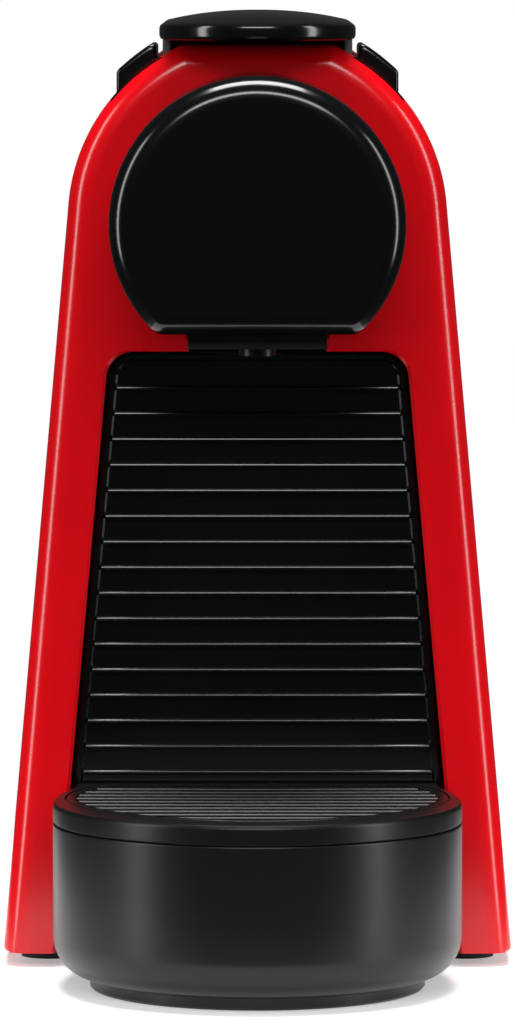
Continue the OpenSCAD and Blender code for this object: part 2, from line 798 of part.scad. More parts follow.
panel_gap = 0.6;
panel_low = support_z - 4;
panel_rim = 2.5;
module ribbed_panel() {
    color([0.02, 0.02, 0.02]) {
        intersection() {
            along_y(panel_y, panel_y + panel_t) polygon(niche_points(panel_gap, ground_gap));
            block([-body_w, front_y, panel_low], [body_w, back_y, niche_top]);
        }
        for (k = [0:ledge_count - 1]) {
            z = niche_top - 7.8 - k * ledge_pitch;
            w = side_x(z, leg_w + panel_rim);
            block([-w, panel_y - 1, z - ledge_h], [w, panel_y + skin, z]);
        }
    }
}

bin_wall = 1.8;
bin_low = tray_floor_z + drum_wall + 0.6;
bin_top = niche_top - 4.3;
bin_hw = tray_hw - drum_wall - 0.8;
bin_back = tray_back - drum_wall - 0.6;
module bin_solid(i, low, top) {
    intersection() {
        along_y(panel_y + panel_t + i, bin_back - i) polygon(niche_points(panel_gap + 2 + i, ground_gap));
        block([-bin_hw + i, front_y, low], [bin_hw - i, back_y, top]);
    }
}
module pod_bin() {
    color([0.09, 0.09, 0.1]) difference() {
        bin_solid(0, bin_low, bin_top);
        bin_solid(bin_wall, bin_low + bin_wall, bin_top + 1);
    }
}

// ---- Tank ----

tank_low = seat_z + 0.2;
tank_y0 = casing_y + 1;
corner_r = 12;
lid_low = tank_top + 0.2;
hinge_y = back_y - 3.2;
hinge_z = lid_low + 2.4;
hinge_r = 1.5;
ear_in = 22.8;
ear_out = 26;
spigot_r = spigot_bore_r + 1.5;
spigot_flange_r = 9;
socket_r = spigot_r + 2.3;
socket_h = 14;

// Plan of the tank as a solid between two heights, set in by i, with rounded rear corners
module tank_plan(z0, z1, i) {
    w = body_w / 2 - 1 - i;
    y0 = (i > 0 ? tank_y0 + i : casing_y);
    translate([0, 0, z0]) linear_extrude(z1 - z0) {
        translate([-w, y0]) square([2 * w, back_y - corner_r - y0]);
        translate([-w + corner_r - i, y0]) square([2 * (w - corner_r + i), back_y - i - y0]);
        for (x = [-1, 1])
            translate([x * (w - corner_r + i), back_y - corner_r]) circle(corner_r - i);
    }
}

// Tank body set in by i, between two heights
module tank_solid(i, z0, z1) {
    intersection() {
        along_y(tank_y0 + i, back_y) polygon(arch_points(tank_inset + i, ground_gap));
        tank_plan(z0, z1, tank_inset - 2 + i);
    }
}

module water_tank() {
    color([0.25, 0.27, 0.3, 0.6]) difference() {
        union() {
            difference() {
                tank_solid(0, tank_low, tank_top);
                tank_solid(tank_wall, tank_low + tank_wall, tank_top + 1);
            }
            rod_z([0, spigot_y, tank_low], socket_r, socket_h);
            for (x = [-1, 1])
                block([x > 0 ? ear_in : -ear_out, hinge_y - 2.2, tank_top - 5],
                      [x > 0 ? ear_out : -ear_in, hinge_y + 1.2, hinge_z + 2.2]);
        }
        rod_z([0, spigot_y, tank_low - 1], spigot_r + slide_gap,
              spigot_top + dock_seal_t + slide_gap - tank_low + 1);
        rod_z([0, spigot_y, tank_low], valve_stem_r + 0.4, socket_h + 1);
        rod_x([-ear_out - 1, hinge_y, hinge_z], hinge_r + pin_clear, 2 * ear_out + 2);
    }
}

module tank_lid() {
    color([0.03, 0.03, 0.035]) {
        difference() {
            intersection() {
                along_y(tank_y0, back_y) polygon(arch_points(tank_inset, ground_gap));
                tank_plan(lid_low, lid_low + lid_t, tank_inset - 2);
                block([-body_w, tank_y0, lid_low], [body_w, hinge_y - 3.2, lid_low + lid_t]);
            }
            for (x = [-1, 1])
                block([x * (ear_in + ear_out) / 2 - 2.2, hinge_y - 6, lid_low - 1],
                      [x * (ear_in + ear_out) / 2 + 2.2, hinge_y, lid_low + lid_t + 1]);
        }
        rod_x([-ear_in + 0.3, hinge_y, hinge_z], 2, 2 * ear_in - 0.6);
        rod_x([-ear_out + 0.2, hinge_y, hinge_z], hinge_r, 2 * ear_out - 0.4);
        block([-ear_in + 1.2, hinge_y - 3.3, hinge_z - 1], [ear_in - 1.2, hinge_y, hinge_z + 1]);
    }
}

spigot_top = tank_low + 6;
dock_seal_t = 0.8;
valve_stem_r = 1.8;
valve_head_r = 4.4;
valve_seal_t = 1;
valve_lift = valve_travel + valve_seal_t + 0.2;
valve_head_z = tank_low + socket_h + valve_lift;
valve_head_t = 1.6;

module docking_spigot() {
    color([0.1, 0.1, 0.11]) difference() {
        union() {
            rod_z([0, spigot_y, seat_z - seat_t], spigot_flange_r, seat_t);
            rod_z([0, spigot_y, seat_z - seat_t - 5], spigot_r, spigot_top - seat_z + seat_t + 5);
        }
        rod_z([0, spigot_y, seat_z - seat_t - 6], spigot_bore_r, 20);
    }
    color([0.1, 0.1, 0.11])
        block([-spigot_bore_r - 0.4, spigot_y - 0.6, seat_z],
              [spigot_bore_r + 0.4, spigot_y + 0.6, spigot_top]);
}

module docking_seal() {
    color([0.5, 0.1, 0.08]) difference() {
        rod_z([0, spigot_y, spigot_top], spigot_r - 0.1, dock_seal_t);
        rod_z([0, spigot_y, spigot_top - 1], spigot_bore_r, 3);
    }
}

module valve_stem() {
    color([0.85, 0.85, 0.85]) {
        rod_z([0, spigot_y, spigot_top + 0.1], valve_stem_r, valve_head_z - spigot_top);
        rod_z([0, spigot_y, valve_head_z], valve_head_r, valve_head_t);
        rod_z([0, spigot_y, valve_head_z + valve_head_t - skin], valve_stem_r, 9);
    }
}
module valve_seal() {
    color([0.1, 0.1, 0.1]) difference() {
        rod_z([0, spigot_y, valve_head_z - valve_seal_t], valve_head_r - 0.2, valve_seal_t);
        rod_z([0, spigot_y, valve_head_z - valve_seal_t - 1], valve_stem_r, valve_seal_t + 2);
    }
}
module valve_spring() {
    color([0.7, 0.7, 0.72])
        spring([0, spigot_y, valve_head_z + valve_head_t], 2.9, 0.35, 9.4, 5);
}

// Strainer cage over the foot valve
module tank_filter() {
    cage_h = valve_head_z + valve_head_t + 9.4 - tank_low - tank_wall;
    color([0.8, 0.8, 0.82]) difference() {
        rod_z([0, spigot_y, tank_low + tank_wall], socket_r + 4, cage_h + 1.2);
        rod_z([0, spigot_y, tank_low + tank_wall - 1], socket_r + 2.8, cage_h + 1);
        rod_z([0, spigot_y, tank_low + tank_wall], valve_stem_r + 0.4, cage_h + 4);
        for (a = [0:30:330])
            translate([0, spigot_y, 0]) rotate(a)
                block([socket_r, -1, tank_low + tank_wall + 3], [socket_r + 6, 1, tank_low + cage_h - 1]);
    }
}

// ---- Water path and electrics ----

hose_r = 2.6;

// Hose of straight runs through a list of points, with ball corners
module hose(points) {
    for (k = [0:len(points) - 2]) {
        p = points[k];
        q = points[k + 1];
        d = q - p;
        if (abs(d[0]) > 0.1) rod_x([min(p[0], q[0]), p[1], p[2]], hose_r, abs(d[0]));
        if (abs(d[1]) > 0.1) rod_y([p[0], min(p[1], q[1]), p[2]], hose_r, abs(d[1]));
        if (abs(d[2]) > 0.1) rod_z([p[0], p[1], min(p[2], q[2])], hose_r, abs(d[2]));
        if (k > 0) translate(p) sphere(hose_r);
    }
}

block_y0 = bulkhead_y - 44;
block_low = 118;
block_high = 166;
block_hw = 25;
pump_y = 20;
pump_z = 46;
pump_r = 16;
meter = [24, 74, base_top];
meter_r = 12;

module thermoblock() {
    color([0.6, 0.61, 0.63]) {
        block([-block_hw, block_y0, block_low], [block_hw, bulkhead_y, block_high]);
        for (x = [-18, 18]) rod_z([x, block_y0 + 10, block_high - skin], 3, 5);
    }
}
module thermostat() {
    color([0.85, 0.85, 0.8]) {
        rod_z([0, block_y0 + 26, block_high], 8, 6);
        block([-5, block_y0 + 25, block_high + 6], [-2, block_y0 + 27, block_high + 12]);
        block([2, block_y0 + 25, block_high + 6], [5, block_y0 + 27, block_high + 12]);
    }
}
module thermal_fuse() {
    color([0.85, 0.85, 0.85]) rod_y([0, block_y0 + 5, block_low - 2], 2, 24);
}
module brew_hose() {
    color([0.85, 0.85, 0.8]) hose([[0, plate_back + 4, brew_z], [0, block_y0, brew_z]]);
}
module vibration_pump() {
    color([0.25, 0.25, 0.27]) {
        rod_y([0, pump_y - 32, pump_z], 9, 20);
        rod_y([0, pump_y - 12, pump_z], pump_r, 24);
        rod_y([0, pump_y + 12, pump_z], 9, 26);
        block([-19, pump_y - 8, pump_z - 15], [19, pump_y + 8, pump_z + 19]);
    }
}
module pump_mounts() {
    color([0.03, 0.03, 0.03]) for (y = [pump_y - 26, pump_y + 24]) difference() {
        block([-14, y - 4, base_top], [14, y + 4, pump_z]);
        rod_y([0, y - 5, pump_z], 9, 10);
    }
}
module flow_meter() {
    color([0.9, 0.9, 0.88]) difference() {
        rod_z(meter, meter_r, 16);
        rod_x([meter[0] - meter_r - 1, meter[1], 19], hose_r, 3);
    }
}
module suction_hose() {
    color([0.85, 0.85, 0.82]) hose([[0, spigot_y, seat_z - seat_t - 5], [0, spigot_y, 19],
                                    [0, meter[1], 19], [meter[0] - meter_r + 2, meter[1], 19]]);
}
module pump_hose() {
    color([0.85, 0.85, 0.82]) hose([[meter[0], meter[1], meter[2] + 16], [meter[0], meter[1], pump_z],
                                    [0, meter[1], pump_z], [0, pump_y + 38, pump_z]]);
}
module pressure_hose() {
    color([0.85, 0.85, 0.82]) hose([[0, pump_y - 32, pump_z], [0, pump_y - 40, pump_z],
                                    [0, pump_y - 40, 104], [18, pump_y - 40, 104],
                                    [18, block_y0 + 12, 104], [18, block_y0 + 12, block_low]]);
}

pcb_x = -35;
module control_board() {
    color([0.05, 0.3, 0.12]) block([pcb_x, 8, 92], [pcb_x + board_t, bulkhead_y, 146]);
}
module board_components() {
    color([0.12, 0.12, 0.13]) {
        block([pcb_x + board_t, 14, 98], [pcb_x + board_t + 12, 34, 118]);
        block([pcb_x + board_t, 14, 124], [pcb_x + board_t + 6, 30, 140]);
        rod_x([pcb_x + board_t, 42, 104], 5, 10);
    }
}
module casing_screws() {
    color([0.5, 0.5, 0.52]) for (x = [-38, 38], y = [face_y + 72, face_y + 130, casing_y - 8])
        rod_z([x, y, base_top], head_screw_r + 0.6, 2);
}

base_plate();
rubber_feet();
front_frame();
left_cover();
right_cover();
rear_bulkhead();
control_saddle();
pod_guide();
head_cover();
coffee_outlet();
left_brew_plate();
right_brew_plate();
tie_bars();
lever_pin();
extraction_plate();
extraction_seal();
feed_tube();
feed_bracket();
brew_unit_screws();
casing_screws();
thermoblock();
thermostat();
thermal_fuse();
brew_hose();
vibration_pump();
pump_mounts();
pressure_hose();
flow_meter();
pump_hose();
suction_hose();
docking_spigot();
docking_seal();
control_board();
board_components();
switch_boards();
key_switches();
cord_gland();
lever();
lever_cap();
left_cam_cheek();
right_cam_cheek();
pod_cage();
guide_pins();
injection_blades();
stem_seal();
espresso_key();
lungo_key();
espresso_spring();
lungo_spring();
drip_tray();
pod_bin();
ribbed_panel();
cup_support_rim();
drip_grid();
water_tank();
tank_filter();
tank_lid();
valve_stem();
valve_spring();
valve_seal();
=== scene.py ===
# %% [markdown]
# A pod coffee machine with an arched red body, a black round head and a half-round drip tray.
# The moving model is loaded first. Each visible piece is then either kept and given a finish,
# or replaced with a smoother mesh of the same size that rides on the same body.

# %% Load the frame
import json
import math
import bpy
import bmesh
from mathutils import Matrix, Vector


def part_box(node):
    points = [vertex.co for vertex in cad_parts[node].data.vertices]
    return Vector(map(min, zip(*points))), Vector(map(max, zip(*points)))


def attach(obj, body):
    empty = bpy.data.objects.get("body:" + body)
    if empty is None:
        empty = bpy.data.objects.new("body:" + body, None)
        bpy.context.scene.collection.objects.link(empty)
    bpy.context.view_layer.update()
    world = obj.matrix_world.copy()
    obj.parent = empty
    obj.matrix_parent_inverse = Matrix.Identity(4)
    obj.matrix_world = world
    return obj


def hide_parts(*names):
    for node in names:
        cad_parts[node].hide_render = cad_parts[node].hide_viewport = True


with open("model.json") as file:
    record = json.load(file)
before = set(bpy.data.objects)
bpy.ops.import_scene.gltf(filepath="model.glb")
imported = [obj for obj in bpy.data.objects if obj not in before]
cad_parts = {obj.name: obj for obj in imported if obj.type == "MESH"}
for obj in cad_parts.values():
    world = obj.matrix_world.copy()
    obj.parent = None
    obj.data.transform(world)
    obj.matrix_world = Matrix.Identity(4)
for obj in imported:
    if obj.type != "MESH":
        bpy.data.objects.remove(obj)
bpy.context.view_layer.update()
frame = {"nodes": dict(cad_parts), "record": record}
MM = 0.001
print("pieces in the frame:", len(frame["nodes"]))

# %% [markdown]
# Many sizes come from the frame's own boxes, so the looks follow the working model; the rest are
# fixed numbers.
# Lengths are in millimetres while shapes are worked out, and turn to metres in the mesh.

# %% Sizes read from the frame
def box_mm(node):
    low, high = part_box(node)
    return [v / MM for v in low], [v / MM for v in high]


face_low, face_high = box_mm("front_frame")
FACE_Y = face_low[1]
FRAME_BACK = face_high[1]
FOOT_Z = face_low[2]
FLAT_Z = face_high[2]
ARCH_R = 40.9
ARCH_Z = 161.5
LEG_W = 11.45
NICHE_TOP = 133.3
NICHE_R = 6.0
SIDE = math.atan2(face_high[0] - 0.2, ARCH_Z - 5) - math.asin(ARCH_R / math.hypot(55, ARCH_Z - 5))


def side_x(z, i=0.0):
    """Half width of the body at a height, set in by i."""
    return (ARCH_R - i - (z - ARCH_Z) * math.sin(SIDE)) / math.cos(SIDE)


def arc(cx, cy, r, a, b, n=24):
    """Points on an arc between two angles in degrees."""
    steps = [math.radians(a + (b - a) * k / n) for k in range(n + 1)]
    return [(cx + r * math.cos(t), cy + r * math.sin(t)) for t in steps]


def mirrored(points):
    return [(-x, z) for x, z in reversed(points)]


print("body is", round(2 * side_x(5), 1), "mm wide at its foot")

# %% [markdown]
# Materials start from what the real piece is. Each colour is an sRGB hex value.

# %% Material helpers
CLOUD_MM = 35     # size of the slow change in colour and roughness
SPREAD = 0.04     # how far that change moves the roughness each way
GRAIN_DEPTH = 0.05


def colour(hex_code):
    """An sRGB hex colour as the linear values a shader takes."""
    parts = [int(hex_code[k:k + 2], 16) / 255 for k in (1, 3, 5)]
    linear = [c / 12.92 if c <= 0.04045 else ((c + 0.055) / 1.055) ** 2.4 for c in parts]
    return (*linear, 1.0)


def add(tree, kind, settings=None, inputs=None, links=None):
    """Adds a node, sets its fields and inputs, and links its inputs to other nodes' outputs."""
    node = tree.nodes.new(kind)
    for key, value in (settings or {}).items():
        setattr(node, key, value)
    for key, value in (inputs or {}).items():
        node.inputs[key].default_value = value
    for key, socket in (links or {}).items():
        tree.links.new(socket, node.inputs[key])
    return node


def finish(name, base, rough, metallic=0.0, ior=None, grain_mm=0.6, grain=0.02, tint=None,
           transmission=0.0, stretch=(1, 1, 1)):
    """A surface with fine moulding or machining grain in its roughness, colour and bump."""
    material = bpy.data.materials.new(name)
    material.use_nodes = True
    tree = material.node_tree
    tree.nodes.clear()
    place = add(tree, "ShaderNodeTexCoord")
    turned = add(tree, "ShaderNodeMapping", inputs={"Scale": stretch},
                 links={"Vector": place.outputs["Object"]})
    fine = add(tree, "ShaderNodeTexNoise", inputs={"Scale": 1 / (grain_mm * MM), "Detail": 3.0},
               links={"Vector": turned.outputs["Vector"]})
    broad = add(tree, "ShaderNodeTexNoise", inputs={"Scale": 1 / (CLOUD_MM * MM), "Detail": 2.0},
                links={"Vector": place.outputs["Object"]})
    rough_range = add(tree, "ShaderNodeMapRange",
                      inputs={"To Min": max(rough - SPREAD, 0.02), "To Max": rough + SPREAD},
                      links={"Value": broad.outputs["Fac"]})
    ramp = add(tree, "ShaderNodeValToRGB", links={"Fac": broad.outputs["Fac"]})
    ramp.color_ramp.elements[0].position = 0.35
    ramp.color_ramp.elements[1].position = 0.65
    ramp.color_ramp.elements[0].color = colour(tint or base)
    ramp.color_ramp.elements[1].color = colour(base)
    bump = add(tree, "ShaderNodeBump", inputs={"Strength": grain, "Distance": GRAIN_DEPTH * MM},
               links={"Height": fine.outputs["Fac"]})
    shader = add(tree, "ShaderNodeBsdfPrincipled",
                 inputs={"Metallic": metallic, "Transmission Weight": transmission},
                 links={"Base Color": ramp.outputs["Color"], "Normal": bump.outputs["Normal"],
                        "Roughness": rough_range.outputs["Result"]})
    if ior:
        shader.inputs["IOR"].default_value = ior
    add(tree, "ShaderNodeOutputMaterial", links={"Surface": shader.outputs["BSDF"]})
    return material


# %% Finishes of this machine
red = finish("red_gloss_abs", "#cc0410", 0.2, ior=1.45, tint="#c4040f", grain=0.01)
black = finish("black_gloss_abs", "#050607", 0.16, ior=1.45, tint="#070809", grain=0.01)
satin = finish("black_satin_abs", "#090a0b", 0.34, ior=1.36, tint="#0b0c0d", grain_mm=0.5,
               grain=0.12)
matt = finish("black_moulded_abs", "#101214", 0.5, ior=1.54, tint="#15181a", grain_mm=0.8,
              grain=0.2)
rubber = finish("moulded_rubber", "#0b0b0b", 0.75, ior=1.52, tint="#121212", grain=0.25)
seal = finish("silicone_seal", "#a5482f", 0.5, ior=1.41, tint="#96402a", grain=0.1)
steel = finish("brushed_steel", "#b9bbbf", 0.3, metallic=1.0, tint="#a9abaf", grain=0.1,
               stretch=(0.05, 1, 1))
alloy = finish("cast_aluminium", "#a4a7ab", 0.45, metallic=1.0, tint="#93969a", grain_mm=1.2,
               grain=0.4)
pale = finish("white_nylon", "#d9d7cd", 0.45, ior=1.53, tint="#cecbc0", grain=0.08)
board = finish("green_solder_mask", "#0d4a24", 0.3, ior=1.5, tint="#0b3f1f", grain=0.05)
smoked = finish("smoked_clear_san", "#4a4e52", 0.06, ior=1.57, tint="#474b50", grain=0.005,
                transmission=0.85)
FINISHES = {"red_gloss": red, "black_gloss": black, "black_satin": satin, "rubber": rubber,
            "steel": steel, "aluminium": alloy, "pale_plastic": pale, "circuit_board": board,
            "smoked_clear": smoked}
OWN = {"extraction_seal": seal, "docking_seal": seal, "base_plate": matt, "rear_bulkhead": matt,
       "pod_bin": matt, "feed_bracket": matt}
SLOTS = {s["node"]: s["material_slot"] for s in frame["record"]["subparts"]}
print("finishes:", len(FINISHES) + 2)

# %% [markdown]
# The working model's meshes are loose triangles. A small tree welds them and shades the shallow
# edges smooth, so that round walls look round and real corners stay crisp.

# %% Weld and smooth the kept pieces
WELD_GAP = 0.002
SHARP_ANGLE = 28


def smoothing_tree():
    tree = bpy.data.node_groups.new("weld_and_smooth", "GeometryNodeTree")
    tree.interface.new_socket("Geometry", in_out="INPUT", socket_type="NodeSocketGeometry")
    tree.interface.new_socket("Geometry", in_out="OUTPUT", socket_type="NodeSocketGeometry")
    start = add(tree, "NodeGroupInput")
    weld = add(tree, "GeometryNodeMergeByDistance", inputs={"Distance": WELD_GAP * MM},
               links={"Geometry": start.outputs["Geometry"]})
    angle = add(tree, "GeometryNodeInputMeshEdgeAngle")
    sharp = add(tree, "FunctionNodeCompare", {"data_type": "FLOAT", "operation": "GREATER_THAN"},
                {1: math.radians(SHARP_ANGLE)}, {0: angle.outputs["Unsigned Angle"]})
    edges = add(tree, "GeometryNodeStoreNamedAttribute",
                {"data_type": "BOOLEAN", "domain": "EDGE"}, {"Name": "sharp_edge"},
                {"Geometry": weld.outputs["Geometry"], "Value": sharp.outputs["Result"]})
    shaded = add(tree, "GeometryNodeSetShadeSmooth", links={"Geometry": edges.outputs["Geometry"]})
    end = add(tree, "NodeGroupOutput")
    tree.links.new(shaded.outputs["Geometry"], end.inputs["Geometry"])
    return tree


smoothing = smoothing_tree()
for name, node in frame["nodes"].items():
    material = OWN.get(name, FINISHES[SLOTS[name]])
    for slot in node.material_slots:
        slot.link = "OBJECT"
        slot.material = material
    node.modifiers.new("weld", "NODES").node_group = smoothing
print("working pieces given a finish:", len(frame["nodes"]))

# %% [markdown]
# Most casings here are one outline that shrinks as it goes through its thickness: a drum, a disc,
# a lever or a key. So one function joins a list of outlines into a skin. A round edge is a run of
# outlines along a quarter circle.

# %% Skins from outlines
def front_view(u, v, w):
    return Vector((u, w, v)) * MM


def plan_view(u, v, w):
    return Vector((u, v, w)) * MM


def skin(name, outline, sections, place, caps=True):
    """A mesh through outline(inset) at each (inset, depth); closed with faces, or into a ring."""
    mesh = bmesh.new()
    rings = [[mesh.verts.new(place(u, v, w)) for u, v in outline(i)] for i, w in sections]
    count = len(rings[0])
    pairs = list(zip(rings, rings[1:] if caps else rings[1:] + rings[:1]))
    for a, b in pairs:
        for k in range(count):
            t = (k + 1) % count
            mesh.faces.new((a[k], a[t], b[t], b[k]))
    if caps:
        mesh.faces.new(rings[0])
        mesh.faces.new(rings[-1])
    return to_object(name, mesh)


def to_object(name, mesh, sharp=32):
    bmesh.ops.remove_doubles(mesh, verts=mesh.verts, dist=0.0005 * MM)
    bmesh.ops.recalc_face_normals(mesh, faces=mesh.faces)
    for face in mesh.faces:
        face.smooth = True
    for edge in mesh.edges:
        flat_cap = any(len(face.verts) > 4 for face in edge.link_faces)
        if flat_cap or edge.calc_face_angle(0) > math.radians(sharp):
            edge.smooth = False
    data = bpy.data.meshes.new(name)
    mesh.to_mesh(data)
    mesh.free()
    made = bpy.data.objects.new(name, data)
    bpy.context.scene.collection.objects.link(made)
    return made


def settle(made, material, body, slot, *nodes):
    """Gives a new piece its finish and its place in the frame."""
    made.data.materials.append(material)
    weighted = made.modifiers.new("even_normals", "WEIGHTED_NORMAL")
    weighted.keep_sharp = True
    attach(made, body)
    if nodes:
        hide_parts(*nodes)
    print(made.name, len(made.data.polygons), "faces")
    return made


def rounding(r, inset, depth, side=1, n=8, start=0, end=90):
    """Sections round an edge, from inset at depth to inset + r at depth + side * r."""
    turns = [math.radians(start + (end - start) * k / n) for k in range(n + 1)]
    return [(inset + r * (1 - math.cos(t)), depth + side * r * math.sin(t)) for t in turns]


# %% [markdown]
# The red front frame is a moulding: an arch with two legs, a 5 mm round front edge and a 2.5 mm
# wall.
# Its opening for the niche and the head is one path, so each flat face is two halves and a strip.

# %% Red front frame
HEAD_Z = 162.0
NOTCH = 14.8
HOLE_R = 26.0
HOLE_Z = NICHE_TOP + 8.7
WALL = 2.5
PLATE = 3.0
EDGE = 5.0
FOOT_R = 1.0


def arch_outline(i):
    r = ARCH_R - i
    top = math.degrees(math.asin((FLAT_Z - i - ARCH_Z) / r))
    pull = FOOT_R if i < 1 else 0    # only the outer outline has a round corner at its foot
    half = [(side_x(FOOT_Z, i) - pull, FOOT_Z)]
    for t in (0.5, 1.0, 1.57):
        z = FOOT_Z + FOOT_R * (1 - math.cos(t))
        half.append((side_x(z, i) - pull * (1 - math.sin(t)), z))
    half += arc(0, ARCH_Z, r, math.degrees(SIDE), top, 48)
    return half + mirrored(half)


def opening(i):
    cz = NICHE_TOP - NICHE_R
    cx = side_x(cz, LEG_W + NICHE_R)
    half = [(side_x(FOOT_Z, LEG_W + i), FOOT_Z)]
    half += arc(cx, cz, NICHE_R - i, math.degrees(SIDE), 90, 10)
    drop = math.degrees(math.asin((HEAD_Z - HOLE_Z) / HOLE_R))
    half += [(NOTCH - i, NICHE_TOP - i), (NOTCH - i, HOLE_Z)]
    half += arc(0, HEAD_Z, HOLE_R - i, -drop, 89, 24)
    return half + mirrored(half)


def front_frame():
    mesh = bmesh.new()
    outer_sections = [(WALL, FACE_Y + PLATE), (WALL, FRAME_BACK), (0, FRAME_BACK)]
    outer_sections += rounding(EDGE, 0, FACE_Y + EDGE, side=-1, n=10)
    inner_sections = [(-0.7, FACE_Y), (0, FACE_Y + 0.7), (0, FACE_Y + PLATE)]

    def rings(shape, sections):
        return [[mesh.verts.new(front_view(u, v, w)) for u, v in shape(i)] for i, w in sections]

    outer = rings(arch_outline, outer_sections)
    inner = rings(opening, inner_sections)
    for group in (outer, inner):
        for a, b in zip(group, group[1:]):
            for k in range(len(a) - 1):
                mesh.faces.new((a[k], a[k + 1], b[k + 1], b[k]))
    for wide, narrow in ((outer[-1], inner[0]), (outer[0], inner[-1])):
        a, b = len(wide) // 2, len(narrow) // 2
        mesh.faces.new(wide[:a] + narrow[:b][::-1])
        mesh.faces.new(wide[a:] + narrow[b:][::-1])
        mesh.faces.new((wide[a - 1], wide[a], narrow[b], narrow[b - 1]))
    for end in (0, -1):
        mesh.faces.new([ring[end] for ring in outer] + [ring[end] for ring in inner])
    return to_object("red_front_frame", mesh)


settle(front_frame(), red, "body", "red_gloss", "front_frame")

# %% [markdown]
# The head is a disc with a flat chord at its foot. The wall is 2.2 mm and the front rim is round.

# %% Head cover
HEAD_WALL = 2.2
head_low, head_high = box_mm("head_cover")
HEAD_FRONT = head_low[1]
HEAD_R = head_high[0]
CHORD = head_low[2]
RIM = 4.5


def head_outline(i, corner=4.0):
    r = HEAD_R - i
    low = CHORD + i
    c = max(corner - i * 0.5, 0.6)
    corner_z = low + c
    reach = math.sqrt((r - c) ** 2 - (HEAD_Z - corner_z) ** 2)
    join = math.degrees(math.atan2(corner_z - HEAD_Z, reach))
    half = arc(reach, corner_z, c, -90, join, 6) + arc(0, HEAD_Z, r, join, 90, 44)
    return half + mirrored(half)


head_sections = [(HEAD_WALL, HEAD_FRONT + HEAD_WALL), (HEAD_WALL, FACE_Y), (0, FACE_Y),
                 (0, HEAD_FRONT + RIM)]
head_sections += rounding(RIM, 0, HEAD_FRONT + RIM, side=-1, n=10)[1:]
settle(skin("round_head", head_outline, head_sections, front_view), black, "body", "black_gloss",
       "head_cover")

# %% [markdown]
# The lever's knob is a band with a domed top that runs back to the hub. The dome is a run of
# outlines that shrink towards the middle while they rise along a parabola.

# %% Lever
lever_low, lever_high = box_mm("lever")
cap_low, cap_high = box_mm("lever_cap")
LEVER_HW = lever_high[0]
KNOB_Y = lever_low[1] + LEVER_HW
LEVER_BACK = 8.0
UNDER = 200.2
BAND = cap_low[2]
TOP = cap_high[2]


def lever_outline(i, back=LEVER_BACK):
    r = max(LEVER_HW - i, 0.05)
    half = [(r, back)] + [(r * math.cos(t), KNOB_Y - r * math.sin(t))
                          for t in [math.radians(90 * k / 28) for k in range(29)]]
    return half + [(-x, y) for x, y in reversed(half)]


band = [(1.2, UNDER), (0.3, UNDER + 0.3), (0, UNDER + 1.0), (0, BAND - 0.9), (0.25, BAND - 0.3),
        (0.7, BAND - 0.05)]
settle(skin("lever_band", lever_outline, band, plan_view), black, "lever", "black_gloss")
PIVOT_Y, PIVOT_Z = 8.0, 188.0
BORE = 3.05


def hub_outline(i):
    """The hub from the side, with a square shoulder up to the band; past 10 it is the bore."""
    points = []
    for k in range(72):
        t = math.radians(5 * k)
        r = 14.0 - i
        if math.cos(t) < -0.01 and math.sin(t) > 0.01:
            r = max(r, min(r / abs(math.cos(t)), (UNDER - PIVOT_Z) / math.sin(t)))
        r = BORE if i > 10 else r
        points.append((PIVOT_Y + r * math.cos(t), PIVOT_Z + r * math.sin(t)))
    return points


def side_view(u, v, w):
    return Vector((w, u, v)) * MM


HUB_HW = 19.3
hub = [(11, -HUB_HW), (0.6, -HUB_HW), (0, -HUB_HW + 0.6), (0, HUB_HW - 0.6), (0.6, HUB_HW),
       (11, HUB_HW)]
settle(skin("lever_hub", hub_outline, hub, side_view, caps=False), black, "lever", "black_gloss",
       "lever")
dome = [(0.7, BAND - 0.05), (0.9, BAND + 0.1)]
dome += [(i, BAND + 0.1 + (TOP - BAND - 0.1) * (1 - (1 - (i - 0.9) / (LEVER_HW - 0.9)) ** 2.2))
         for i in [0.9 + (LEVER_HW - 0.95) * k / 16 for k in range(1, 17)]]
settle(skin("lever_dome", lambda i: lever_outline(i, LEVER_BACK - 12), dome, plan_view), black,
       "lever", "black_gloss", "lever_cap")

# %% [markdown]
# The two keys follow the shoulders of the arch. Their ends and edges are slightly round.

# %% Keys
for label, side in (("espresso_key", -1), ("lungo_key", 1)):
    low, high = box_mm(label)
    inside, outside = (low[0], high[0]) if side > 0 else (-high[0], -low[0])

    def key_outline(i, x0=inside, x1=outside, s=side):
        r = 44.1 - i
        bottom = 187 + i
        c = 1.6
        a0 = math.degrees(math.acos((x1 - i - c) / (r - c)))
        a1 = math.degrees(math.acos((x0 + i + 0.8) / (r - 0.8)))
        points = [(x0 + i, bottom), (x1 - i, bottom)]
        points += arc(x1 - i - c, ARCH_Z + (r - c) * math.sin(math.radians(a0)), c, 0, a0, 5)
        points += arc(0, ARCH_Z, r, a0, a1, 10)
        points += arc(x0 + i + 0.8, ARCH_Z + (r - 0.8) * math.sin(math.radians(a1)), 0.8, a1, 180,
                      5)
        return [(s * u, v) for u, v in points]

    sections = rounding(0.8, 0, high[1] - 0.8, side=1, n=4)[::-1]
    sections += rounding(0.8, 0, low[1] + 0.8, side=-1, n=4)
    key = skin(label + "_cap", key_outline, sections, front_view)
    settle(key, black, label, "black_gloss")
    middle = side * (inside + outside) / 2

    def stem_outline(i, x=middle, y=low[1] + 12.0):
        return [(x + u, y + v) for u, v in arc(0, 0, 1.6 - i, 0, 345, 23)]

    stem = skin(label + "_stem", stem_outline, [(0.2, low[2]), (0, low[2] + 0.2), (0, 187.6)],
                plan_view)
    settle(stem, black, label, "black_gloss", label)

# %% [markdown]
# The tray's drum is half round in front and narrows gently into the niche. Its foot is round and
# stands on a ring. The walls are a skin that goes down the outside and back up the inside.

